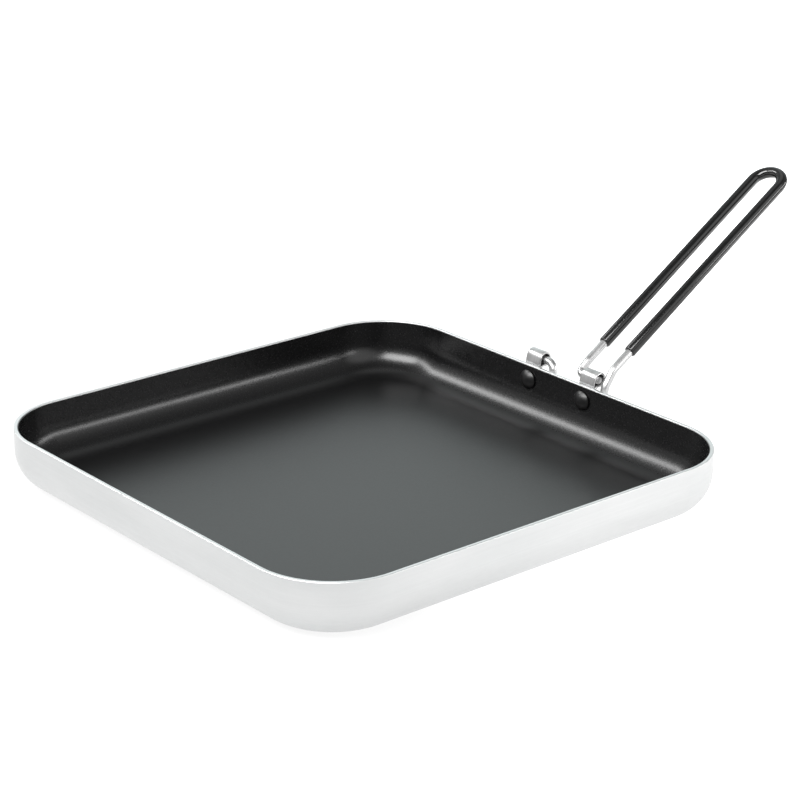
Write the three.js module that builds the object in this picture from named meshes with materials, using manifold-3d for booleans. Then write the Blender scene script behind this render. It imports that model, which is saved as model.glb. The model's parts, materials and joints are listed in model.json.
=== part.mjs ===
// Square non-stick frying pan with a folding wire handle.
// Millimetres, +Z up. The origin is the middle of the flat underside, and the handle leaves over +X.
import * as THREE from 'three';
import { mergeVertices } from 'three/addons/utils/BufferGeometryUtils.js';
import Module from 'manifold-3d';

const wasm = await Module();
wasm.setup();

// Pressed pan
const panSide = 280;
const panHeight = 32;
const cornerRadius = 43;
const bottomRadius = 20;
const sheetThickness = 2.1;
const rimRound = 0.5;

// Black coating on the inside
const coatingThickness = 0.3;
const coatingGap = 0.1;
const bareRim = 0.6;

// Folded hinge straps
const strapSpacing = 42.6;
const strapWidth = 11;
const strapThickness = 1.1;
const strapFoot = 5.5;
const strapLean = THREE.MathUtils.degToRad(15);
const leafGap = 0.2;
const leanBendRadius = 3;
const closingBendRadius = 1.8;
const loopStandOff = 0.75;
const loopPlay = 0.5;

// Rivets
const rivetDrop = 8.3;
const rivetHeadDiameter = 11;
const rivetHeadHeight = 3;
const rivetHeadEdge = 0.5;
const rivetShankDiameter = 4.8;
const rivetTailDiameter = 8.4;
const rivetTailHeight = 1.6;
const rivetTailEdge = 0.6;

// Handle wire
const wireDiameter = 4.5;
const hingeRise = 2.8;
const handleAngle = THREE.MathUtils.degToRad(32.5);
const handleLength = 170;
const legRise = 1.4;
const heelLength = 8.5;
const heelBendRadius = 9;
const kneeReach = 0.8;
const kneeDrop = 2.3;
const entryBendRadius = 3.2;
const entryLength = 1.9;
const archBendRadius = 5;
const archLength = 1.9;
const sideGap = 1.05;
const tipInset = 0.5;
const stopDrop = 22;
const stopBendRadius = 6;

// Grip sleeve
const gripThickness = 0.85;
const gripFit = 0.15;
const bareLegLength = 14.2;

// Clearance between pieces that seat on each other
const seatGap = 0.3;

// Facets
const cornerFacets = 12;
const filletFacets = 8;
const rimFacets = 2;
const strapFacets = 16;
const roundFacets = 24;
const sectionFacets = 16;
const bendStep = THREE.MathUtils.degToRad(15);

// Sizes that follow from the driving ones
const halfSide = panSide / 2;
const wireRadius = wireDiameter / 2;
const headRadius = rivetHeadDiameter / 2;
const rivetHeight = panHeight - rivetDrop;
const coatingInset = sheetThickness + coatingGap;
const coatedInset = coatingInset + coatingThickness;
const loopRadius = wireRadius + seatGap + loopPlay + strapThickness / 2;
const frontLeafX = halfSide + seatGap + strapThickness / 2;
const backLeafX = frontLeafX + strapThickness + leafGap;
const pivotX = frontLeafX + loopRadius + loopStandOff;
const pivotZ = panHeight + hingeRise;

const looks = {
  aluminium: new THREE.MeshStandardMaterial({ color: 0xd6d8da, roughness: 0.38, metalness: 0.95 }),
  coating: new THREE.MeshStandardMaterial({ color: 0x232425, roughness: 0.5, metalness: 0.1 }),
  steel: new THREE.MeshStandardMaterial({ color: 0xb4b6b8, roughness: 0.35, metalness: 1 }),
  rivet: new THREE.MeshStandardMaterial({ color: 0x1c1c1d, roughness: 0.35, metalness: 0.2 }),
  wire: new THREE.MeshStandardMaterial({ color: 0xe2e3e4, roughness: 0.12, metalness: 1 }),
  grip: new THREE.MeshStandardMaterial({ color: 0x0e0e0f, roughness: 0.2, metalness: 0 }),
};

function solidOf(geometry) {
  const bare = geometry.clone();
  bare.deleteAttribute('normal');
  bare.deleteAttribute('uv');
  const merged = mergeVertices(bare, 1e-4);
  const vertProperties = new Float32Array(merged.attributes.position.array);
  const triVerts = new Uint32Array(merged.index.array);
  return new wasm.Manifold(new wasm.Mesh({ numProp: 3, vertProperties, triVerts }));
}

function cut(geometry, tools) {
  const solid = tools.reduce((left, tool) => left.subtract(solidOf(tool)), solidOf(geometry));
  const mesh = solid.getMesh();
  const result = new THREE.BufferGeometry();
  result.setAttribute('position', new THREE.BufferAttribute(new Float32Array(mesh.vertProperties), 3));
  result.setIndex(new THREE.BufferAttribute(new Uint32Array(mesh.triVerts), 1));
  result.computeVertexNormals();
  return result;
}

function arc(x, y, radius, from, to, facets) {
  return new THREE.EllipseCurve(x, y, radius, radius, from, to, to < from).getPoints(facets);
}

function pieceMesh(name, geometry, material) {
  const mesh = new THREE.Mesh(geometry, material);
  mesh.name = name;
  return mesh;
}

// Lofts a wall profile round the rounded square. The profile's x is the inset from the pan's outside,
// and it runs from the underside, over the rim, to the floor. Both ends are closed to the middle.
function squareDish(profile) {
  const cornerCentre = halfSide - cornerRadius;
  const quarter = arc(0, 0, 1, 0, Math.PI / 2, cornerFacets);
  const positions = [];
  for (const { x: inset, y: height } of profile) {
    for (let corner = 0; corner < 4; corner += 1) {
      for (const direction of quarter) {
        const point = direction.clone().multiplyScalar(cornerRadius - inset).addScalar(cornerCentre);
        point.rotateAround(new THREE.Vector2(), corner * Math.PI / 2);
        positions.push(point.x, point.y, height);
      }
    }
  }
  const count = 4 * quarter.length;
  const lastRing = (profile.length - 1) * count;
  const underside = profile.length * count;
  positions.push(0, 0, profile[0].y, 0, 0, profile[profile.length - 1].y);
  const index = [];
  for (let k = 0; k < count; k += 1) {
    const next = (k + 1) % count;
    index.push(underside, next, k, underside + 1, lastRing + k, lastRing + next);
    for (let ring = 0; ring < lastRing; ring += count) {
      index.push(ring + k, ring + next, ring + count + next);
      index.push(ring + k, ring + count + next, ring + count + k);
    }
  }
  const geometry = new THREE.BufferGeometry();
  geometry.setAttribute('position', new THREE.Float32BufferAttribute(positions, 3));
  geometry.setIndex(index);
  geometry.computeVertexNormals();
  return geometry;
}

// A straight round bar at one rivet, wider than the shank by the seat gap. It reaches in as far as the
// bottom radius does, so it passes the wall and the coating at any height.
function rivetHole(y) {
  const radius = rivetShankDiameter / 2 + seatGap;
  const bar = new THREE.CylinderGeometry(radius, radius, 2 * bottomRadius, roundFacets);
  bar.rotateZ(-Math.PI / 2);
  bar.translate(halfSide, y, rivetHeight);
  return bar;
}

const strapPlaces = { left: strapSpacing / 2, right: -strapSpacing / 2 };
const wallHoles = Object.values(strapPlaces).map(rivetHole);

// Pan: one pressed sheet with a rounded bottom edge and a plain rolled-off rim.
function panBody() {
  const inside = sheetThickness - rimRound;
  const profile = [
    ...arc(bottomRadius, bottomRadius, bottomRadius, 1.5 * Math.PI, Math.PI, filletFacets),
    ...arc(rimRound, panHeight - rimRound, rimRound, Math.PI, Math.PI / 2, rimFacets),
    ...arc(inside, panHeight - rimRound, rimRound, Math.PI / 2, 0, rimFacets),
    ...arc(bottomRadius, bottomRadius, bottomRadius - sheetThickness, Math.PI, 1.5 * Math.PI, filletFacets),
  ];
  return pieceMesh('pan_body', cut(squareDish(profile), wallHoles), looks.aluminium);
}

// Coating: a thin skin over the floor and the inner walls, ending just under the bare rim.
function nonstickCoating() {
  const top = panHeight - bareRim;
  const outer = bottomRadius - coatingInset;
  const inner = bottomRadius - coatedInset;
  const profile = [
    ...arc(bottomRadius, bottomRadius, outer, 1.5 * Math.PI, Math.PI, filletFacets),
    new THREE.Vector2(coatingInset, top),
    new THREE.Vector2(coatedInset, top),
    ...arc(bottomRadius, bottomRadius, inner, Math.PI, 1.5 * Math.PI, filletFacets),
  ];
  return pieceMesh('nonstick_coating', cut(squareDish(profile), wallHoles), looks.coating);
}

// Strap: a strip folded round the wire. Its middle line goes up the wall, leans out at the rim, turns
// round the loop, and comes back down as a second leaf behind the first.
function hingeStrap(side) {
  const loopZ = pivotZ + loopPlay;
  const foot = rivetHeight - strapFoot;
  const lean = { cos: Math.cos(strapLean), sin: Math.sin(strapLean) };
  const offWall = pivotX - loopRadius * lean.cos - frontLeafX - leanBendRadius * (1 - lean.cos);
  const leanZ = loopZ + (loopRadius - leanBendRadius) * lean.sin - offWall / lean.sin * lean.cos;
  const closingX = backLeafX + closingBendRadius;
  const closingReach = loopRadius + closingBendRadius;
  const closingZ = loopZ - Math.sqrt(closingReach ** 2 - (closingX - pivotX) ** 2);
  const closing = Math.atan2(closingZ - loopZ, closingX - pivotX);
  const bends = [
    { x: frontLeafX + leanBendRadius, z: leanZ, r: leanBendRadius, from: Math.PI, to: Math.PI - strapLean },
    { x: pivotX, z: loopZ, r: loopRadius, from: Math.PI - strapLean, to: closing },
    { x: closingX, z: closingZ, r: closingBendRadius, from: closing + Math.PI, to: Math.PI },
  ];
  // Offset of the strip's face from its middle line, measured away from the loop's middle.
  const face = (offset) => [
    new THREE.Vector2(frontLeafX - offset, foot),
    ...bends.flatMap(({ x, z, r, from, to }) => {
      const facets = Math.ceil(Math.abs(to - from) / Math.PI * strapFacets);
      return arc(x, z, to < from ? r + offset : r - offset, from, to, facets);
    }),
    new THREE.Vector2(backLeafX + offset, foot),
  ];
  const outline = [...face(strapThickness / 2), ...face(-strapThickness / 2).reverse()];
  const strip = new THREE.ExtrudeGeometry(new THREE.Shape(outline), {
    depth: strapWidth, bevelEnabled: false,
  });
  strip.translate(0, 0, -strapWidth / 2);
  strip.rotateX(Math.PI / 2);
  const strap = pieceMesh(`${side}_hinge_strap`, cut(strip, [rivetHole(0)]), looks.steel);
  strap.position.y = strapPlaces[side];
  return strap;
}

// Inset of the coated wall at a height, where the bottom edge's rounding starts to fill the corner.
function coatedWallInset(height) {
  const below = Math.max(0, bottomRadius - height);
  return bottomRadius - Math.sqrt((bottomRadius - coatedInset) ** 2 - below ** 2);
}

// A low dome from the axis out to a short straight edge.
function dome(radius, height, edge) {
  const rise = height - edge;
  const ball = (radius ** 2 + rise ** 2) / (2 * rise);
  const points = arc(0, height - ball, ball, Math.PI / 2, Math.acos(radius / ball), filletFacets);
  points[0].x = 0;
  return points;
}

// Rivet: a domed head inside the pan, a shank through wall and strap, and a low formed tail outside.
function rivet(side) {
  const seat = halfSide - coatedWallInset(rivetHeight - headRadius) - seatGap;
  const tailSeat = backLeafX + strapThickness / 2 + seatGap;
  const length = tailSeat - seat;
  const head = dome(headRadius, rivetHeadHeight, rivetHeadEdge);
  const tail = dome(rivetTailDiameter / 2, rivetTailHeight, rivetTailEdge);
  const profile = [
    ...head.map(({ x, y }) => new THREE.Vector2(x, -y)),
    new THREE.Vector2(headRadius, 0),
    new THREE.Vector2(rivetShankDiameter / 2, 0),
    new THREE.Vector2(rivetShankDiameter / 2, length),
    new THREE.Vector2(rivetTailDiameter / 2, length),
    ...tail.reverse().map(({ x, y }) => new THREE.Vector2(x, length + y)),
  ];
  const geometry = new THREE.LatheGeometry(profile, roundFacets);
  geometry.rotateZ(-Math.PI / 2);
  const piece = pieceMesh(`${side}_rivet`, geometry, looks.rivet);
  piece.position.set(seat, strapPlaces[side], rivetHeight);
  return piece;
}

// A bent wire's middle line: straight runs between corners, with an arc of its own radius at each.
class BentLine extends THREE.Curve {
  constructor(corners) {
    super();
    this.stations = [];
    const last = corners.length - 1;
    const heading = (k) => corners[k + 1].at.clone().sub(corners[k].at).normalize();
    this.add(corners[0].at, heading(0));
    for (let k = 1; k < last; k += 1) {
      this.addBend(corners[k], heading(k - 1), heading(k));
    }
    this.add(corners[last].at, heading(last - 1));
  }

  add(point, tangent) {
    const previous = this.stations[this.stations.length - 1];
    if (!previous || previous.point.distanceTo(point) > 1e-3) {
      this.stations.push({ point, tangent });
    }
  }

  addBend({ at, bend }, before, after) {
    const angle = before.angleTo(after);
    const axis = before.clone().cross(after).normalize();
    const spoke = axis.clone().cross(before).multiplyScalar(-bend);
    const centre = at.clone().addScaledVector(before, -bend * Math.tan(angle / 2)).sub(spoke);
    const steps = Math.ceil(angle / bendStep);
    for (let step = 0; step <= steps; step += 1) {
      const turn = angle * step / steps;
      this.add(spoke.clone().applyAxisAngle(axis, turn).add(centre), before.clone().applyAxisAngle(axis, turn));
    }
  }

  get steps() {
    return this.stations.length - 1;
  }

  getPointAt(u) {
    return this.stations[Math.round(u * this.steps)].point.clone();
  }

  getTangentAt(u) {
    return this.stations[Math.round(u * this.steps)].tangent.clone();
  }
}

function sweep(section, line) {
  return new THREE.ExtrudeGeometry(section, {
    extrudePath: line, steps: line.steps, bevelEnabled: false, curveSegments: sectionFacets / 2,
  });
}

// Handle places, measured from the pivot. The two legs stand either side of the right strap, and the
// legs' line passes a little above the pivot at the handle's angle.
const strapEnd = strapPlaces.right - strapWidth / 2;
const rightLegY = strapEnd - sideGap - wireRadius;
const leftLegY = strapEnd + strapWidth + entryLength + entryBendRadius;
const archY = strapPlaces.left - strapWidth / 2 - archLength - archBendRadius;
const gripRadius = wireRadius + gripFit + gripThickness;

function onLeg(along, y) {
  const x = along * Math.cos(handleAngle) - legRise * Math.sin(handleAngle);
  const z = along * Math.sin(handleAngle) + legRise * Math.cos(handleAngle);
  return new THREE.Vector3(x, y, z);
}

// The stop bar rests on the pan's outside, which rounds away below the bottom radius.
function stopBarX() {
  const below = Math.max(0, bottomRadius - (pivotZ - stopDrop));
  const reach = bottomRadius + seatGap + wireRadius;
  return halfSide - bottomRadius + Math.sqrt(reach ** 2 - below ** 2) - pivotX;
}

const loopEnd = handleLength - gripRadius;
const loopBend = (leftLegY - rightLegY) / 2;
const loopCorners = [
  { at: onLeg(loopEnd, rightLegY), bend: loopBend },
  { at: onLeg(loopEnd, leftLegY), bend: loopBend },
];

// Wire: from its tip in the left strap down to the stop bar under the right strap, up the right leg,
// round the loop, down the left leg, and into the right strap.
function handleWire() {
  const stopX = stopBarX();
  const line = new BentLine([
    { at: new THREE.Vector3(0, strapPlaces.left + strapWidth / 2 - tipInset, 0) },
    { at: new THREE.Vector3(0, archY, 0), bend: archBendRadius },
    { at: new THREE.Vector3(stopX, archY, -stopDrop), bend: stopBendRadius },
    { at: new THREE.Vector3(stopX, rightLegY, -stopDrop), bend: stopBendRadius },
    { at: new THREE.Vector3(kneeReach, rightLegY, -kneeDrop), bend: heelBendRadius },
    { at: onLeg(heelLength, rightLegY), bend: heelBendRadius },
    ...loopCorners,
    { at: onLeg(heelLength, leftLegY), bend: heelBendRadius },
    { at: new THREE.Vector3(0, leftLegY, 0), bend: entryBendRadius },
    { at: new THREE.Vector3(0, strapEnd + tipInset, 0) },
  ]);
  const section = new THREE.Shape().absarc(0, 0, wireRadius, 0, 2 * Math.PI);
  return pieceMesh('handle_wire', sweep(section, line), looks.wire);
}

// Grip: one soft sleeve over both legs and the loop between them.
function gripSleeve() {
  const gripStart = heelLength + bareLegLength;
  const line = new BentLine([
    { at: onLeg(gripStart, rightLegY) },
    ...loopCorners,
    { at: onLeg(gripStart, leftLegY) },
  ]);
  const section = new THREE.Shape().absarc(0, 0, gripRadius, 0, 2 * Math.PI);
  section.holes.push(new THREE.Path().absarc(0, 0, wireRadius + gripFit, 0, 2 * Math.PI));
  return pieceMesh('grip_sleeve', sweep(section, line), looks.grip);
}

const pan = new THREE.Group();
pan.add(panBody(), nonstickCoating());
for (const side of Object.keys(strapPlaces)) {
  pan.add(hingeStrap(side), rivet(side));
}

const handle = new THREE.Group();
handle.position.set(pivotX, 0, pivotZ);
handle.add(handleWire(), gripSleeve());

const fryingPan = new THREE.Group();
fryingPan.add(pan, handle);

export default fryingPan;
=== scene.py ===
# Square frying pan with a folding wire handle. Metres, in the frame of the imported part.
import json
import math

import bpy
from mathutils import Euler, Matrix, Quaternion, Vector


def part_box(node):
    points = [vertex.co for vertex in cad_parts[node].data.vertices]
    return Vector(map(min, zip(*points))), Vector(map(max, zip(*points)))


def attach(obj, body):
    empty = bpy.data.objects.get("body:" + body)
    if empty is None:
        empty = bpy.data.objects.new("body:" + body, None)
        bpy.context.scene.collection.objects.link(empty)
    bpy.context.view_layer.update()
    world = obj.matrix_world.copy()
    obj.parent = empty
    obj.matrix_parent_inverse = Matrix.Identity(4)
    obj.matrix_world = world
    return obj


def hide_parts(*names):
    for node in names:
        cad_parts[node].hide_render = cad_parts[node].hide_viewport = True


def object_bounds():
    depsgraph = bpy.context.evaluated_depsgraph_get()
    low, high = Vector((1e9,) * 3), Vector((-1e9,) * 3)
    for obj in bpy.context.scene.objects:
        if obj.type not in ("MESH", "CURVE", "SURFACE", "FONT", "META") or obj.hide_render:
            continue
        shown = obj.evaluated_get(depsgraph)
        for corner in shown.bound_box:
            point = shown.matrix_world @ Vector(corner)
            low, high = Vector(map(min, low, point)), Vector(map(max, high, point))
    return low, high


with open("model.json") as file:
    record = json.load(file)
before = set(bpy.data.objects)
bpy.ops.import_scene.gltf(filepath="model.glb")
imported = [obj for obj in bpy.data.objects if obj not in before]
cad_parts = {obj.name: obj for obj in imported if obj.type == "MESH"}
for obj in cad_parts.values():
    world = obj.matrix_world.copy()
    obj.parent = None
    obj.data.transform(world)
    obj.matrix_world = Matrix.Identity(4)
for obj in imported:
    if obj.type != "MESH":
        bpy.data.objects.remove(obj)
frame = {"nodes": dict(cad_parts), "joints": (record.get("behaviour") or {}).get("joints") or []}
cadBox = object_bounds()
scene = bpy.context.scene
print("frame loaded:", ", ".join(sorted(frame["nodes"])))

panLow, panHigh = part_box("pan_body")
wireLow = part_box("handle_wire")[0]
gripLow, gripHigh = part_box("grip_sleeve")
pivot = Vector(frame["joints"][0]["pos_m"])
sides = ("left", "right")
strapBoxes = {side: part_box(f"{side}_hinge_strap") for side in sides}
rivetBoxes = {side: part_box(f"{side}_rivet") for side in sides}
strapMiddles = {side: (low.y + high.y) / 2 for side, (low, high) in strapBoxes.items()}
rivetHeight = (rivetBoxes["left"][0].z + rivetBoxes["left"][1].z) / 2


def facing(turn, lift):
    turn, lift = math.radians(turn), math.radians(lift)
    level = math.cos(lift)
    return Vector((math.cos(turn) * level, math.sin(turn) * level, math.sin(lift)))


# Camera
photoCamera = {
    "aim": (0.026, 0.0001, 0.0443),  # a little behind the pan's middle, so the handle is in view
    "distance": 1.272,
    "turn": -130.48,
    "lift": 20.91,
    "roll": 0.617,
    "lens": 110.5,
}


def placeCamera(view):
    back = facing(view["turn"], view["lift"])
    camera = bpy.data.objects.new("photoCamera", bpy.data.cameras.new("photoCamera"))
    camera.data.lens = view["lens"]
    camera.rotation_mode = "QUATERNION"
    roll = Quaternion((0, 0, 1), math.radians(view["roll"]))
    camera.rotation_quaternion = back.to_track_quat("Z", "Y") @ roll
    camera.location = Vector(view["aim"]) + back * view["distance"]
    scene.collection.objects.link(camera)
    scene.camera = camera


placeCamera(photoCamera)
print("camera placed")


# Node helpers, used for shapes and for materials
shapeSizes = {
    "sharpAngle": 32.0,  # edges that turn more than this stay crisp
    "mergeDistance": 0.000005,
    "holeSides": 48,
}
alongX = Euler((0, math.pi / 2, 0))  # lays an upright axis along X


def addNode(tree, kind, inputs=None, **settings):
    node = tree.nodes.new(kind)
    for key, value in settings.items():
        setattr(node, key, value)
    for key, value in (inputs or {}).items():
        if isinstance(value, bpy.types.NodeSocket):
            tree.links.new(value, node.inputs[key])
        else:
            node.inputs[key].default_value = value
    return node


def startTree(name, sizes):
    tree = bpy.data.node_groups.new(name, "GeometryNodeTree")
    tree.interface.new_socket("Line", in_out="INPUT", socket_type="NodeSocketGeometry")
    for label, kind in sizes.items():
        tree.interface.new_socket(label, in_out="INPUT", socket_type=f"NodeSocket{kind}")
    tree.interface.new_socket("Piece", in_out="OUTPUT", socket_type="NodeSocketGeometry")
    return tree, tree.nodes.new("NodeGroupInput").outputs


def endTree(tree, geometry, material):
    whole = addNode(tree, "GeometryNodeRealizeInstances", {"Geometry": geometry}).outputs[0]
    finished = addNode(tree, "GeometryNodeSetMaterial", {"Geometry": whole, "Material": material})
    addNode(tree, "NodeGroupOutput", {0: finished.outputs[0]})


def named(tree, name):
    return addNode(tree, "GeometryNodeInputNamedAttribute", {"Name": name}).outputs[0]


def filleted(tree, curve, radius, steps):
    inputs = {"Curve": curve, "Radius": radius, "Count": steps}
    return addNode(tree, "GeometryNodeFilletCurve", inputs, mode="POLY").outputs[0]


def bentCurve(tree, line, steps):
    curve = addNode(tree, "GeometryNodeMeshToCurve", {"Mesh": line}).outputs[0]
    return filleted(tree, curve, named(tree, "bend"), steps)


def merged(tree, geometry):
    inputs = {"Geometry": geometry, "Distance": shapeSizes["mergeDistance"]}
    return addNode(tree, "GeometryNodeMergeByDistance", inputs).outputs[0]


def smoothed(tree, geometry):
    sharpAngle = math.radians(shapeSizes["sharpAngle"])
    smooth = addNode(tree, "GeometryNodeSetShadeSmooth", {"Geometry": geometry}).outputs[0]
    angle = addNode(tree, "GeometryNodeInputMeshEdgeAngle").outputs[0]
    steep = addNode(tree, "FunctionNodeCompare", {0: angle, 1: sharpAngle}, operation="GREATER_THAN")
    inputs = {"Geometry": smooth, "Selection": steep.outputs[0], "Shade Smooth": False}
    return addNode(tree, "GeometryNodeSetShadeSmooth", inputs, domain="EDGE").outputs[0]


def drilled(tree, geometry, places, radius, depth):
    bar = {"Vertices": shapeSizes["holeSides"], "Radius": radius, "Depth": depth}
    bar = addNode(tree, "GeometryNodeMeshCylinder", bar).outputs[0]
    bars = {"Points": places, "Instance": bar, "Rotation": alongX}
    bars = addNode(tree, "GeometryNodeInstanceOnPoints", bars).outputs[0]
    bars = addNode(tree, "GeometryNodeRealizeInstances", {"Geometry": bars}).outputs[0]
    inputs = {"Mesh 1": geometry, "Mesh 2": bars}
    return addNode(tree, "GeometryNodeMeshBoolean", inputs, solver="MANIFOLD").outputs[0]


def rowOfSpots(tree, count, first, step=(0, 0, 0)):
    inputs = {"Count": count, "Start Location": first, "Offset": step}
    return addNode(tree, "GeometryNodeMeshLine", inputs).outputs[0]


# A line of corners, each with the radius that it is bent to and the girth of what follows the line
def bentLine(name, corners):
    mesh = bpy.data.meshes.new(name)
    places = [corner[0] for corner in corners]
    mesh.from_pydata(places, [(k, k + 1) for k in range(len(places) - 1)], [])
    for title, column, usual in (("bend", 1, 0.0), ("girth", 2, 1.0)):
        values = [corner[column] if len(corner) > column else usual for corner in corners]
        mesh.attributes.new(title, "FLOAT", "POINT").data.foreach_set("value", values)
    return mesh


# A section to sweep round an upright axis, as places out and up. The sweep turns it over, so it goes
# in turned
def sectionLine(name, corners):
    return bentLine(name, [((out, -up, 0), *rest) for (out, up), *rest in reversed(corners)])


# Corners of the straight runs that just touch an arc, so that bending them gives the arc back
def arcCorners(centre, radius, start, end, runs=1):
    half = (end - start) / runs / 2
    angles = [start + half * (2 * run + 1) for run in range(runs)]
    reach = radius / math.cos(half)
    places = [(centre[0] + reach * math.cos(a), centre[1] + reach * math.sin(a)) for a in angles]
    return [(place, radius) for place in places]


def grow(name, line, tree, sizes):
    carrier = bpy.data.objects.new(name, line)
    scene.collection.objects.link(carrier)
    shape = carrier.modifiers.new("shape", "NODES")
    shape.node_group = tree
    for item in tree.interface.items_tree:
        if item.name in sizes:
            shape[item.identifier] = sizes[item.name]
    depsgraph = bpy.context.evaluated_depsgraph_get()
    mesh = bpy.data.meshes.new_from_object(
        carrier.evaluated_get(depsgraph), preserve_all_data_layers=True, depsgraph=depsgraph)
    bpy.data.objects.remove(carrier)
    piece = bpy.data.objects.new(name, mesh)
    mesh.name = name
    scene.collection.objects.link(piece)
    print(f"{name}: {len(mesh.vertices)} points")
    return piece


def fit(piece, body, node):
    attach(piece, body)
    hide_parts(node)


# Material helpers
white = (1.0, 1.0, 1.0)
black = (0.0, 0.0, 0.0)


def startMaterial(name, finish):
    material = bpy.data.materials.new(name)
    material.use_nodes = True
    tree = material.node_tree
    shader = tree.nodes["Principled BSDF"]
    for socket, value in finish.items():
        shader.inputs[socket].default_value = value
    return material, tree, shader


def objectSpot(tree):
    return addNode(tree, "ShaderNodeTexCoord").outputs["Object"]


# Where a point lies on a swept piece: its run along the line, and its spot on the section
def sweptSpot(tree):
    along = addNode(tree, "ShaderNodeAttribute", attribute_name="along").outputs["Fac"]
    ring = addNode(tree, "ShaderNodeAttribute", attribute_name="ring").outputs["Vector"]
    parts = addNode(tree, "ShaderNodeSeparateXYZ", {0: ring}).outputs
    return addNode(tree, "ShaderNodeCombineXYZ", {0: along, 1: parts[0], 2: parts[1]}).outputs[0]


def noise(tree, spot, scale, detail=3.0, rough=0.55):
    stretched = addNode(tree, "ShaderNodeMapping", {"Vector": spot, "Scale": scale}).outputs[0]
    inputs = {"Vector": stretched, "Scale": 1.0, "Detail": detail, "Roughness": rough}
    return addNode(tree, "ShaderNodeTexNoise", inputs).outputs[0]


def spread(tree, value, low, high, start=0.3, end=0.7):
    inputs = {"Value": value, "From Min": start, "From Max": end, "To Min": low, "To Max": high}
    return addNode(tree, "ShaderNodeMapRange", inputs).outputs[0]


def ramp(tree, value, stops):
    node = addNode(tree, "ShaderNodeValToRGB", {"Fac": value})
    elements = node.color_ramp.elements
    while len(elements) < len(stops):
        elements.new(1.0)
    for element, (place, colour) in zip(elements, stops):
        element.position = place
        element.color = (*colour, 1.0)
    return node.outputs[0]


def tinted(stops, tint):
    return [(place, tuple(tone * part for part in tint)) for place, tone in stops]


def blendColour(tree, factor, first, second, kind="MIX"):
    inputs = {0: factor, 6: first, 7: second}  # 6 and 7 are the node's colour sockets
    return addNode(tree, "ShaderNodeMix", inputs, data_type="RGBA", blend_type=kind).outputs[2]


# The finish's own tone, which drifts from dark to light with a noise
def drifting(tree, value, finish):
    start, end = finish["toneRun"]
    return ramp(tree, value, [(start, finish["dark"]), (end, finish["light"])])


# A tone that is darker along fine lines
def streaked(tree, tone, lines, finish):
    start, end = finish["streakRun"]
    streak = ramp(tree, lines, [(start, finish["streak"]), (end, white)])
    return blendColour(tree, 1.0, tone, streak, kind="MULTIPLY")


def bumps(tree, *layers):
    normal = None
    for height, (strength, depth) in layers:
        inputs = {"Height": height, "Strength": strength, "Distance": depth}
        if normal is not None:
            inputs["Normal"] = normal
        normal = addNode(tree, "ShaderNodeBump", inputs).outputs[0]
    return normal


def link(tree, shader, sockets):
    for key, value in sockets.items():
        tree.links.new(value, shader.inputs[key])


# Satin aluminium: fine level lines round the walls and a cloudy tone
satinFinish = {
    "lines": (5.0, 5.0, 1500.0),
    "clouds": (9.0, 9.0, 40.0),
    "scuffs": (160.0, 160.0, 420.0),
    "dark": (0.65, 0.66, 0.66),
    "light": (0.72, 0.725, 0.725),
    "toneRun": (0.3, 0.7),
    "streak": (0.97, 0.97, 0.97),
    "streakRun": (0.25, 0.75),
    "rough": (0.40, 0.50),
    "lineBump": (0.2, 0.00002),
}


def satinAluminium():
    finish = satinFinish
    material, tree, shader = startMaterial("satinAluminium", {"Metallic": 1.0})
    spot = objectSpot(tree)
    lines = noise(tree, spot, finish["lines"], detail=2.0)
    clouds = noise(tree, spot, finish["clouds"], detail=3.0)
    scuffs = noise(tree, spot, finish["scuffs"], detail=4.0)
    colour = streaked(tree, drifting(tree, clouds, finish), lines, finish)
    rough = spread(tree, scuffs, *finish["rough"])
    normal = bumps(tree, (lines, finish["lineBump"]))
    link(tree, shader, {"Base Color": colour, "Roughness": rough, "Normal": normal})
    return material


# Baked black coating: fine grain, a slight orange peel and faint paler specks, which are tiny glints
# painted into the colour
coatingFinish = {
    "grain": (900.0, 900.0, 900.0),
    "peel": (260.0, 260.0, 260.0),
    "specks": 900.0,
    "dark": (0.0012, 0.0012, 0.0013),
    "light": (0.0030, 0.0030, 0.0032),
    "toneRun": (0.35, 0.7),
    "glint": (0.0015, 0.0015, 0.0016),
    "glintReach": 0.14,
    "shine": 0.5,
    "rough": (0.24, 0.28),
    "grainBump": (0.3, 0.00003),
    "peelBump": (0.4, 0.00002),
    "floorRise": (0.0027, 0.0055),  # the flat floor is duller up to here
    "floorDull": 0.10,
}


def bakedCoating(name, finish):
    material, tree, shader = startMaterial(name, {"Specular IOR Level": finish["shine"]})
    spot = objectSpot(tree)
    grain = noise(tree, spot, finish["grain"], detail=2.0)
    peel = noise(tree, spot, finish["peel"], detail=1.0)
    specks = {"Vector": spot, "Scale": finish["specks"]}
    specks = addNode(tree, "ShaderNodeTexVoronoi", specks).outputs[0]
    # painted highlight: tiny glints painted into the coating's colour as paler specks
    glint = ramp(tree, specks, [(0.0, finish["glint"]), (finish["glintReach"], black)])
    colour = blendColour(tree, 1.0, drifting(tree, grain, finish), glint, kind="ADD")
    height = addNode(tree, "ShaderNodeSeparateXYZ", {0: spot}).outputs[2]
    onFloor = spread(tree, height, 1.0, 0.0, *finish["floorRise"])
    rough = {0: onFloor, 1: finish["floorDull"], 2: spread(tree, grain, *finish["rough"])}
    rough = addNode(tree, "ShaderNodeMath", rough, operation="MULTIPLY_ADD").outputs[0]
    normal = bumps(tree, (peel, finish["peelBump"]), (grain, finish["grainBump"]))
    link(tree, shader, {"Base Color": colour, "Roughness": rough, "Normal": normal})
    return material


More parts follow.
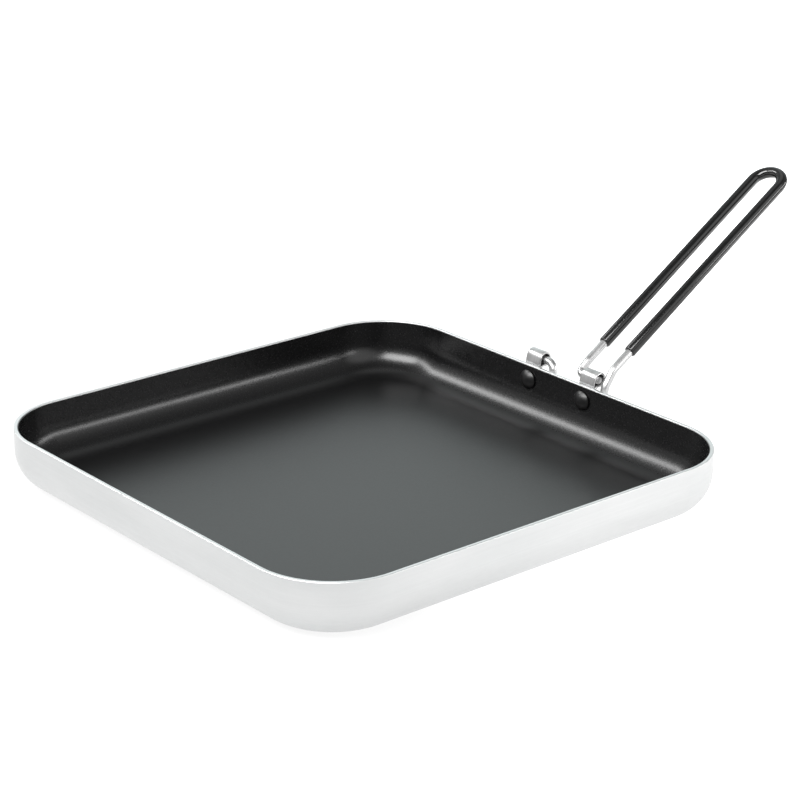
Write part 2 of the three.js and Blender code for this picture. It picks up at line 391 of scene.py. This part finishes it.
# Strap steel: rolled lines along the strip
strapFinish = {
    "lines": (12.0, 2600.0, 2600.0),
    "clouds": (160.0, 160.0, 160.0),
    "dark": (0.50, 0.50, 0.50),
    "light": (0.64, 0.64, 0.64),
    "toneRun": (0.3, 0.7),
    "streak": (0.86, 0.86, 0.86),
    "streakRun": (0.3, 0.7),
    "rough": (0.33, 0.41),
    "lineBump": (0.4, 0.000005),
}


def rolledSteel():
    finish = strapFinish
    material, tree, shader = startMaterial("rolledSteel", {"Metallic": 1.0})
    lines = noise(tree, sweptSpot(tree), finish["lines"], detail=2.0)
    clouds = noise(tree, objectSpot(tree), finish["clouds"], detail=2.0)
    colour = streaked(tree, drifting(tree, clouds, finish), lines, finish)
    rough = spread(tree, lines, *finish["rough"])
    normal = bumps(tree, (lines, finish["lineBump"]))
    link(tree, shader, {"Base Color": colour, "Roughness": rough, "Normal": normal})
    return material


# Bright plating on drawn wire: faint drawing lines and small dull patches
plateFinish = {
    "lines": (8.0, 800.0, 800.0),
    "patches": (220.0, 220.0, 220.0),
    "dark": (0.54, 0.54, 0.54),
    "light": (0.62, 0.62, 0.62),
    "toneRun": (0.3, 0.65),
    "streak": (0.80, 0.80, 0.80),
    "streakRun": (0.35, 0.65),
    "rough": (0.31, 0.37),
    "lineBump": (0.3, 0.000002),
}


def brightPlating():
    finish = plateFinish
    material, tree, shader = startMaterial("brightPlating", {"Metallic": 1.0})
    lines = noise(tree, sweptSpot(tree), finish["lines"], detail=2.0)
    patches = noise(tree, objectSpot(tree), finish["patches"], detail=3.0)
    colour = streaked(tree, drifting(tree, patches, finish), lines, finish)
    rough = spread(tree, patches, *finish["rough"])
    normal = bumps(tree, (lines, finish["lineBump"]))
    link(tree, shader, {"Base Color": colour, "Roughness": rough, "Normal": normal})
    return material


# Glossy black sleeve: long extrusion lines, a soft ripple and light scuffs
sleeveFinish = {
    "lines": (9.0, 900.0, 900.0),
    "ripple": (120.0, 240.0, 240.0),
    "scuffs": (420.0, 420.0, 420.0),
    "dark": (0.003, 0.0032, 0.0032),
    "light": (0.006, 0.0062, 0.0062),
    "toneRun": (0.4, 0.75),
    "shine": 0.6,
    "rough": (0.10, 0.15),
    "lineBump": (0.3, 0.000002),
    "rippleBump": (0.5, 0.000008),
}


def blackSleeve():
    finish = sleeveFinish
    material, tree, shader = startMaterial("blackSleeve", {"Specular IOR Level": finish["shine"]})
    spot = sweptSpot(tree)
    lines = noise(tree, spot, finish["lines"], detail=2.0)
    ripple = noise(tree, spot, finish["ripple"], detail=1.0)
    scuffs = noise(tree, objectSpot(tree), finish["scuffs"], detail=4.0)
    colour = drifting(tree, scuffs, finish)
    rough = spread(tree, scuffs, *finish["rough"])
    normal = bumps(tree, (ripple, finish["rippleBump"]), (lines, finish["lineBump"]))
    link(tree, shader, {"Base Color": colour, "Roughness": rough, "Normal": normal})
    return material


# Pressed pan and its coating: a layer's section swept round a rounded square, with a flat floor
panSizes = {
    "side": panHigh.x - panLow.x,
    "height": panHigh.z,
    "cornerRadius": 0.043,
    "bottomRadius": 0.020,
    "sheet": 0.0021,
    "rimRound": 0.0005,
    "floorMargin": 0.006,
    "cornerSteps": 40,
    "bendSteps": 14,
    "holeRadius": 0.0027,
}
coatingSizes = {
    "gap": 0.0001,
    "thickness": 0.0003,
    "bareRim": 0.0006,
    "edgeRound": 0.00012,
}


def dishTree():
    tree, given = startTree("dishTree", {
        "Side": "Float", "Corner Radius": "Float", "Corner Steps": "Int", "Bend Steps": "Int",
        "Underside": "Float", "Floor": "Float", "Hole Radius": "Float", "Hole Depth": "Float",
        "First Hole": "Vector", "Hole Step": "Vector", "Material": "Material"})
    section = bentCurve(tree, given["Line"], given["Bend Steps"])
    square = {"Width": given["Side"], "Height": given["Side"]}
    path = addNode(tree, "GeometryNodeCurvePrimitiveQuadrilateral", square).outputs[0]
    path = filleted(tree, path, given["Corner Radius"], given["Corner Steps"])
    path = addNode(tree, "GeometryNodeSetCurveNormal", {"Curve": path}, mode="Z_UP").outputs[0]
    swept = {"Curve": path, "Profile Curve": section}
    wall = addNode(tree, "GeometryNodeCurveToMesh", swept).outputs[0]
    # the open ring under the floor is filled once, and the fill closes the underside and the floor
    faces = addNode(tree, "GeometryNodeInputMeshEdgeNeighbors").outputs[0]
    openEdge = {2: faces, 3: 1}  # the node's whole-number sockets
    openEdge = addNode(tree, "FunctionNodeCompare", openEdge, data_type="INT", operation="EQUAL")
    middle = {0: given["Underside"], 1: given["Floor"]}
    middle = addNode(tree, "ShaderNodeMath", middle, operation="ADD").outputs[0]
    middle = addNode(tree, "ShaderNodeMath", {0: middle, 1: 0.5}, operation="MULTIPLY").outputs[0]
    place = addNode(tree, "GeometryNodeInputPosition").outputs[0]
    height = addNode(tree, "ShaderNodeSeparateXYZ", {0: place}).outputs[2]
    below = addNode(tree, "FunctionNodeCompare", {0: height, 1: middle}, operation="LESS_THAN")
    ring = {0: openEdge.outputs[0], 1: below.outputs[0]}
    ring = addNode(tree, "FunctionNodeBooleanMath", ring).outputs[0]
    ring = addNode(tree, "GeometryNodeMeshToCurve", {"Mesh": wall, "Selection": ring}).outputs[0]
    fill = addNode(tree, "GeometryNodeFillCurve", {"Curve": ring}, mode="NGONS").outputs[0]
    whole = addNode(tree, "GeometryNodeJoinGeometry", {0: wall})
    for label, downward in (("Underside", True), ("Floor", False)):
        lift = addNode(tree, "ShaderNodeCombineXYZ", {2: given[label]}).outputs[0]
        plate = {"Geometry": fill, "Translation": lift}
        plate = addNode(tree, "GeometryNodeTransform", plate).outputs[0]
        if downward:
            plate = addNode(tree, "GeometryNodeFlipFaces", {"Mesh": plate}).outputs[0]
        tree.links.new(plate, whole.inputs[0])
    holes = rowOfSpots(tree, len(sides), given["First Hole"], given["Hole Step"])
    closed = merged(tree, whole.outputs[0])
    pierced = drilled(tree, closed, holes, given["Hole Radius"], given["Hole Depth"])
    endTree(tree, smoothed(tree, pierced), given["Material"])
    return tree


def layerLine(name, outer, inner, top, edgeRound):
    bend = panSizes["bottomRadius"]
    floorEdge = -(bend + panSizes["floorMargin"])
    return sectionLine(name, [
        ((floorEdge, outer),),
        ((-outer, outer), bend - outer),
        ((-outer, top), edgeRound),
        ((-inner, top), edgeRound),
        ((-inner, inner), bend - inner),
        ((floorEdge, inner),),
    ])


def pressLayer(name, tree, outer, inner, top, edgeRound, material):
    sizes = panSizes
    holeGap = strapMiddles["left"] - strapMiddles["right"]
    return grow(name, layerLine(name, outer, inner, top, edgeRound), tree, {
        "Side": sizes["side"], "Corner Radius": sizes["cornerRadius"],
        "Corner Steps": sizes["cornerSteps"], "Bend Steps": sizes["bendSteps"],
        "Underside": outer, "Floor": inner,
        "Hole Radius": sizes["holeRadius"], "Hole Depth": 2 * sizes["bottomRadius"],
        "First Hole": (panHigh.x, strapMiddles["right"], rivetHeight), "Hole Step": (0, holeGap, 0),
        "Material": material})


def makePan():
    tree = dishTree()
    sheet = panSizes["sheet"]
    pan = pressLayer("pressedPan", tree, 0.0, sheet, panSizes["height"], panSizes["rimRound"],
                     satinAluminium())
    fit(pan, "pan", "pan_body")
    under = sheet + coatingSizes["gap"]
    top = panSizes["height"] - coatingSizes["bareRim"]
    coating = pressLayer("insideCoating", tree, under, under + coatingSizes["thickness"], top,
                         coatingSizes["edgeRound"], bakedCoating("bakedCoating", coatingFinish))
    fit(coating, "pan", "nonstick_coating")


makePan()


# Rivets: a section turned about the rivet's axis
rivetSizes = {
    "headDiameter": 0.011,
    "headHeight": 0.003,
    "headEdge": 0.0005,
    "shankDiameter": 0.0048,
    "tailDiameter": 0.0084,
    "tailHeight": 0.0016,
    "tailEdge": 0.0006,
    "turnRadius": 0.000001,  # all but nothing, because the section starts on the axis
    "bendSteps": 16,
    "turnSteps": 64,
}
rivetFinish = {**coatingFinish, "rough": (0.32, 0.40)}


def rivetTree():
    tree, given = startTree("rivetTree", {
        "Turn Radius": "Float", "Turn Steps": "Int", "Bend Steps": "Int",
        "Place": "Vector", "Material": "Material"})
    section = bentCurve(tree, given["Line"], given["Bend Steps"])
    turn = {"Resolution": given["Turn Steps"], "Radius": given["Turn Radius"]}
    turn = addNode(tree, "GeometryNodeCurvePrimitiveCircle", turn).outputs[0]
    turn = addNode(tree, "GeometryNodeSetCurveNormal", {"Curve": turn}, mode="Z_UP").outputs[0]
    turned = {"Curve": turn, "Profile Curve": section}
    turned = addNode(tree, "GeometryNodeCurveToMesh", turned).outputs[0]
    placed = {"Geometry": merged(tree, turned), "Translation": given["Place"], "Rotation": alongX}
    placed = addNode(tree, "GeometryNodeTransform", placed).outputs[0]
    endTree(tree, smoothed(tree, placed), given["Material"])
    return tree


# A low dome's corners, from its top to the short straight edge below
def domeCorners(diameter, height, edge):
    radius = diameter / 2
    rise = height - edge
    ball = (radius ** 2 + rise ** 2) / (2 * rise)
    reach = ball * math.tan(math.asin(radius / ball) / 2)
    return [((0, height),), ((reach, height), ball), ((radius, edge),), ((radius, 0),)]


def makeRivets():
    sizes = rivetSizes
    tree = rivetTree()
    material = bakedCoating("coatedRivet", rivetFinish)
    shank = sizes["shankDiameter"] / 2
    for side in sides:
        low, high = rivetBoxes[side]
        length = high.x - low.x - sizes["headHeight"] - sizes["tailHeight"]
        head = domeCorners(sizes["headDiameter"], sizes["headHeight"], sizes["headEdge"])
        tail = domeCorners(sizes["tailDiameter"], sizes["tailHeight"], sizes["tailEdge"])
        corners = [((out, -up), *rest) for (out, up), *rest in head]
        corners += [((shank, 0),), ((shank, length),)]
        corners += [((out, length + up), *rest) for (out, up), *rest in reversed(tail)]
        place = (low.x + sizes["headHeight"], strapMiddles[side], rivetHeight)
        rivet = grow(f"{side}Rivet", sectionLine(f"{side}Rivet", corners), tree, {
            "Turn Radius": sizes["turnRadius"], "Turn Steps": sizes["turnSteps"],
            "Bend Steps": sizes["bendSteps"], "Place": place, "Material": material})
        fit(rivet, "pan", f"{side}_rivet")


makeRivets()


# Straps and wire: a section that follows a bent line
def stripSection(tree, given):
    flat = {"Width": given["Thickness"], "Height": given["Width"]}
    flat = addNode(tree, "GeometryNodeCurvePrimitiveQuadrilateral", flat).outputs[0]
    return filleted(tree, flat, given["Edge Round"], given["Edge Steps"])


def roundSection(tree, given):
    ring = {"Resolution": given["Ring Steps"], "Radius": given["Radius"]}
    return addNode(tree, "GeometryNodeCurvePrimitiveCircle", ring).outputs[0]


def sweptLine(tree, given, section, capped):
    curve = bentCurve(tree, given["Line"], given["Bend Steps"])
    run = addNode(tree, "GeometryNodeSplineParameter").outputs["Length"]
    inputs = {"Geometry": curve, "Name": "along", "Value": run}
    curve = addNode(tree, "GeometryNodeStoreNamedAttribute", inputs)
    spot = addNode(tree, "GeometryNodeInputPosition").outputs[0]
    inputs = {"Geometry": section, "Name": "ring", "Value": spot}
    section = addNode(tree, "GeometryNodeStoreNamedAttribute", inputs, data_type="FLOAT_VECTOR")
    inputs = {"Curve": curve.outputs[0], "Profile Curve": section.outputs[0],
              "Scale": named(tree, "girth"), "Fill Caps": capped}
    return addNode(tree, "GeometryNodeCurveToMesh", inputs).outputs[0]


strapSizes = {
    "thickness": 0.0011,
    "width": 0.011,
    "edgeRound": 0.00022,
    "lean": 15.0,
    "leafGap": 0.0002,
    "leanBend": 0.003,
    "closingBend": 0.0018,
    "loopRadius": 0.0036,
    "loopPlay": 0.0005,
    "loopRuns": 4,  # straight runs that the loop's arc is bent from
    "holeRadius": 0.0027,
    "holeDepth": 0.02,
    "edgeSteps": 3,
    "bendSteps": 10,
}


def strapTree():
    tree, given = startTree("strapTree", {
        "Thickness": "Float", "Width": "Float", "Edge Round": "Float", "Edge Steps": "Int",
        "Bend Steps": "Int", "Hole Radius": "Float", "Hole Depth": "Float", "Hole Place": "Vector",
        "Place": "Vector", "Material": "Material"})
    strip = sweptLine(tree, given, stripSection(tree, given), True)
    hole = rowOfSpots(tree, 1, given["Hole Place"])
    strip = drilled(tree, strip, hole, given["Hole Radius"], given["Hole Depth"])
    placed = addNode(tree, "GeometryNodeTransform", {"Geometry": strip, "Translation": given["Place"]})
    endTree(tree, smoothed(tree, placed.outputs[0]), given["Material"])
    return tree


# The strap's middle line, seen from the side: up the wall, out at the rim, round the wire, back down
def strapLine(name, low):
    sizes = strapSizes
    lean = math.radians(sizes["lean"])
    front = low.x + sizes["thickness"] / 2
    back = front + sizes["thickness"] + sizes["leafGap"]
    loop = (pivot.x, pivot.z + sizes["loopPlay"])
    start = math.pi - lean
    closingX = back + sizes["closingBend"]
    reach = sizes["loopRadius"] + sizes["closingBend"]
    closingZ = loop[1] - math.sqrt(reach ** 2 - (closingX - loop[0]) ** 2)
    closing = math.atan2(closingZ - loop[1], closingX - loop[0])
    # where the leaning run, which touches the loop, meets the upright leaf
    touchX = loop[0] + sizes["loopRadius"] * math.cos(start)
    touchZ = loop[1] + sizes["loopRadius"] * math.sin(start)
    leanZ = touchZ - (touchX - front) / math.tan(lean)
    flat = [((front, low.z), 0.0), ((front, leanZ), sizes["leanBend"])]
    flat += arcCorners(loop, sizes["loopRadius"], start, closing, sizes["loopRuns"])
    flat += arcCorners((closingX, closingZ), sizes["closingBend"], closing + math.pi, math.pi)
    flat += [((back, low.z), 0.0)]
    return bentLine(name, [((x, 0, z), bend) for (x, z), bend in flat])


def makeStraps():
    sizes = strapSizes
    tree = strapTree()
    material = rolledSteel()
    for side in sides:
        name = f"{side}HingeStrap"
        strap = grow(name, strapLine(name, strapBoxes[side][0]), tree, {
            "Thickness": sizes["thickness"], "Width": sizes["width"],
            "Edge Round": sizes["edgeRound"], "Edge Steps": sizes["edgeSteps"],
            "Bend Steps": sizes["bendSteps"],
            "Hole Radius": sizes["holeRadius"], "Hole Depth": sizes["holeDepth"],
            "Hole Place": (panHigh.x, 0, rivetHeight), "Place": (0, strapMiddles[side], 0),
            "Material": material})
        fit(strap, "pan", f"{side}_hinge_strap")


makeStraps()


wireSizes = {
    "diameter": 0.0045,
    "angle": 32.5,
    "legRise": 0.0014,
    "heelLength": 0.0085,
    "heelBend": 0.009,
    "kneeReach": 0.0008,
    "kneeDrop": 0.0023,
    "entryBend": 0.0032,
    "archBend": 0.005,
    "archLength": 0.0019,
    "stopBend": 0.006,
    "tipInset": 0.0005,
    "tipChamfer": 0.0004,
    "tipGirth": 0.8,
    "ringSteps": 40,
    "bendSteps": 14,
}
gripSizes = {
    "diameter": 0.0065,
    "wall": 0.00085,
    "bareLeg": 0.0142,
    "lipLength": 0.0005,
    "lipGirth": 0.93,
    "ringSteps": 48,
    "bendSteps": 36,
}


def tubeTree(name, capped):
    tree, given = startTree(name, {
        "Radius": "Float", "Ring Steps": "Int", "Bend Steps": "Int", "Material": "Material"})
    tube = sweptLine(tree, given, roundSection(tree, given), capped)
    endTree(tree, smoothed(tree, tube), given["Material"])
    return tree


legRight = gripLow.y + gripSizes["diameter"] / 2
legLeft = gripHigh.y - gripSizes["diameter"] / 2
legAngle = math.radians(wireSizes["angle"])
legWay = Vector((math.cos(legAngle), 0, math.sin(legAngle)))
legOver = Vector((-math.sin(legAngle), 0, math.cos(legAngle)))


def onLeg(along, y):
    return pivot + legWay * along + legOver * wireSizes["legRise"] + Vector((0, y, 0))


def loopCorners():
    end = (gripHigh.x - gripSizes["diameter"] / 2 - onLeg(0, 0).x) / legWay.x
    bend = (legLeft - legRight) / 2
    return [(onLeg(end, legRight), bend), (onLeg(end, legLeft), bend)]


def wireLine():
    sizes = wireSizes
    radius = sizes["diameter"] / 2
    tipLeft = strapBoxes["left"][1].y - sizes["tipInset"]
    tipRight = strapBoxes["right"][0].y + sizes["tipInset"]
    arch = strapBoxes["left"][0].y - sizes["archLength"] - sizes["archBend"]
    stop = Vector((wireLow.x + radius, 0, wireLow.z + radius))
    knee = pivot + Vector((sizes["kneeReach"], legRight, -sizes["kneeDrop"]))

    def onPivot(y):
        return pivot + Vector((0, y, 0))

    return bentLine("handleWire", [
        (onPivot(tipLeft), 0.0, sizes["tipGirth"]),
        (onPivot(tipLeft - sizes["tipChamfer"]),),
        (onPivot(arch), sizes["archBend"]),
        (stop + Vector((0, arch, 0)), sizes["stopBend"]),
        (stop + Vector((0, legRight, 0)), sizes["stopBend"]),
        (knee, sizes["heelBend"]),
        (onLeg(sizes["heelLength"], legRight), sizes["heelBend"]),
        *loopCorners(),
        (onLeg(sizes["heelLength"], legLeft), sizes["heelBend"]),
        (onPivot(legLeft), sizes["entryBend"]),
        (onPivot(tipRight + sizes["tipChamfer"]),),
        (onPivot(tipRight), 0.0, sizes["tipGirth"]),
    ])


def gripLine():
    sizes = gripSizes
    start = wireSizes["heelLength"] + sizes["bareLeg"]
    lip = start + sizes["lipLength"]
    return bentLine("gripSleeve", [
        (onLeg(start, legRight), 0.0, sizes["lipGirth"]),
        (onLeg(lip, legRight),),
        *loopCorners(),
        (onLeg(lip, legLeft),),
        (onLeg(start, legLeft), 0.0, sizes["lipGirth"]),
    ])


def makeHandle():
    wire = grow("handleWire", wireLine(), tubeTree("wireTree", True), {
        "Radius": wireSizes["diameter"] / 2, "Ring Steps": wireSizes["ringSteps"],
        "Bend Steps": wireSizes["bendSteps"], "Material": brightPlating()})
    fit(wire, "handle", "handle_wire")
    grip = grow("gripSleeve", gripLine(), tubeTree("gripTree", False), {
        "Radius": gripSizes["diameter"] / 2, "Ring Steps": gripSizes["ringSteps"],
        "Bend Steps": gripSizes["bendSteps"], "Material": blackSleeve()})
    wall = grip.modifiers.new("wall", "SOLIDIFY")
    wall.thickness = gripSizes["wall"]
    wall.offset = -1.0
    fit(grip, "handle", "grip_sleeve")


makeHandle()


# Studio: a pale lit table, a dim room that is bright behind the pan, and soft boxes round it
studio = {
    "floorSize": 60.0,
    "floorDrop": 0.0002,
    "floorColour": (0.10, 0.10, 0.10),
    "floorRough": 0.8,
    "floorShine": 0.1,
    "floorGlowRun": (-0.2, 0.8),  # the table is brighter towards the handle
    "floorGlow": [(0.0, 0.81), (0.12, 0.90), (0.2, 1.03), (0.35, 1.08),
                  (0.47, 1.13), (0.58, 2.9), (0.9, 3.8)],
    "floorFar": (0.45, 0.9),  # and even again this far out
    "floorFarGlow": 1.05,
}
coolWhite = (0.91, 1.0, 1.0)
# glow of the room by the way that is faced: its heart, how it grows towards that, and its tint
roomGlows = {
    "dim": ((0.0, 0.0, 1.0), [(0.0, 0.18), (1.0, 0.18)], white),
    "backdrop": ((0.644, 0.754, 0.130),
                 [(0.30, 0.0), (0.72, 0.24), (0.87, 0.62), (0.93, 0.76), (0.975, 1.18)], coolWhite),
    "backRise": ((0.449, 0.719, 0.53), [(0.90, 0.0), (0.985, 0.22)], coolWhite),
    "front": ((0.06, -0.86, 0.50), [(0.86, 0.0), (0.96, 1.2)], white),
    "side": ((-0.70, 0.71, 0.0), [(0.93, 0.0), (0.99, 0.6)], white),
    "leftHaze": ((-0.443, 0.632, 0.636), [(0.88, 0.0), (0.985, 0.6)], white),
    "rightHaze": ((0.579, -0.643, 0.5), [(0.80, 0.0), (0.97, 0.16)], white),
    "overhead": ((0.20, 0.24, 0.95), [(0.90, 0.0), (0.975, 0.6)], white),
}
softBoxes = {
    "leftBox": {"turn": 127.0, "lift": 39.5, "distance": 1.5, "size": (1.3, 0.23), "glow": 11.8},
    "rightBox": {"turn": -47.0, "lift": 15.0, "distance": 1.6, "size": (1.6, 0.17), "glow": 9.5},
    "topBox": {"turn": -164.5, "lift": 47.0, "distance": 1.5, "size": (1.5, 0.62), "glow": 14.5},
}


def makeFloor():
    half = studio["floorSize"] / 2
    mesh = bpy.data.meshes.new("studioFloor")
    corners = [(-half, -half, 0), (half, -half, 0), (half, half, 0), (-half, half, 0)]
    mesh.from_pydata(corners, [], [(0, 1, 2, 3)])
    floor = bpy.data.objects.new("studioFloor", mesh)
    floor.location.z = cadBox[0].z - studio["floorDrop"]
    material, tree, shader = startMaterial("paleFloor", {
        "Base Color": (*studio["floorColour"], 1.0), "Roughness": studio["floorRough"],
        "Specular IOR Level": studio["floorShine"], "Emission Color": (*white, 1.0)})
    spot = objectSpot(tree)
    run = addNode(tree, "ShaderNodeSeparateXYZ", {0: spot}).outputs[0]
    run = spread(tree, run, 0.0, 1.0, *studio["floorGlowRun"])
    near = ramp(tree, run, tinted(studio["floorGlow"], white))
    out = addNode(tree, "ShaderNodeVectorMath", {0: spot}, operation="LENGTH").outputs["Value"]
    out = spread(tree, out, 0.0, 1.0, *studio["floorFar"])
    glow = studio["floorFarGlow"]
    far = (glow, glow, glow, 1.0)
    link(tree, shader, {"Emission Strength": blendColour(tree, out, near, far)})
    mesh.materials.append(material)
    scene.collection.objects.link(floor)


def makeRoom():
    world = bpy.data.worlds.new("dimRoom")
    world.use_nodes = True
    tree = world.node_tree
    way = addNode(tree, "ShaderNodeTexCoord").outputs["Generated"]
    whole = None
    for heart, stops, tint in roomGlows.values():
        near = addNode(tree, "ShaderNodeVectorMath", {0: way, 1: heart}, operation="DOT_PRODUCT")
        glow = ramp(tree, near.outputs["Value"], tinted(stops, tint))
        whole = glow if whole is None else blendColour(tree, 1.0, whole, glow, kind="ADD")
    tree.links.new(whole, tree.nodes["Background"].inputs["Color"])
    scene.world = world


def makeSoftBoxes():
    for name, box in softBoxes.items():
        light = bpy.data.lights.new(name, "AREA")
        light.shape = "RECTANGLE"
        light.size, light.size_y = box["size"]
        light.energy = math.pi * light.size * light.size_y * box["glow"]
        away = facing(box["turn"], box["lift"])
        lamp = bpy.data.objects.new(name, light)
        lamp.location = away * box["distance"]
        lamp.rotation_mode = "QUATERNION"
        lamp.rotation_quaternion = away.to_track_quat("Z", "Y")
        scene.collection.objects.link(lamp)


makeFloor()
makeRoom()
makeSoftBoxes()
scene.view_settings.view_transform = "Standard"
print("studio lit")
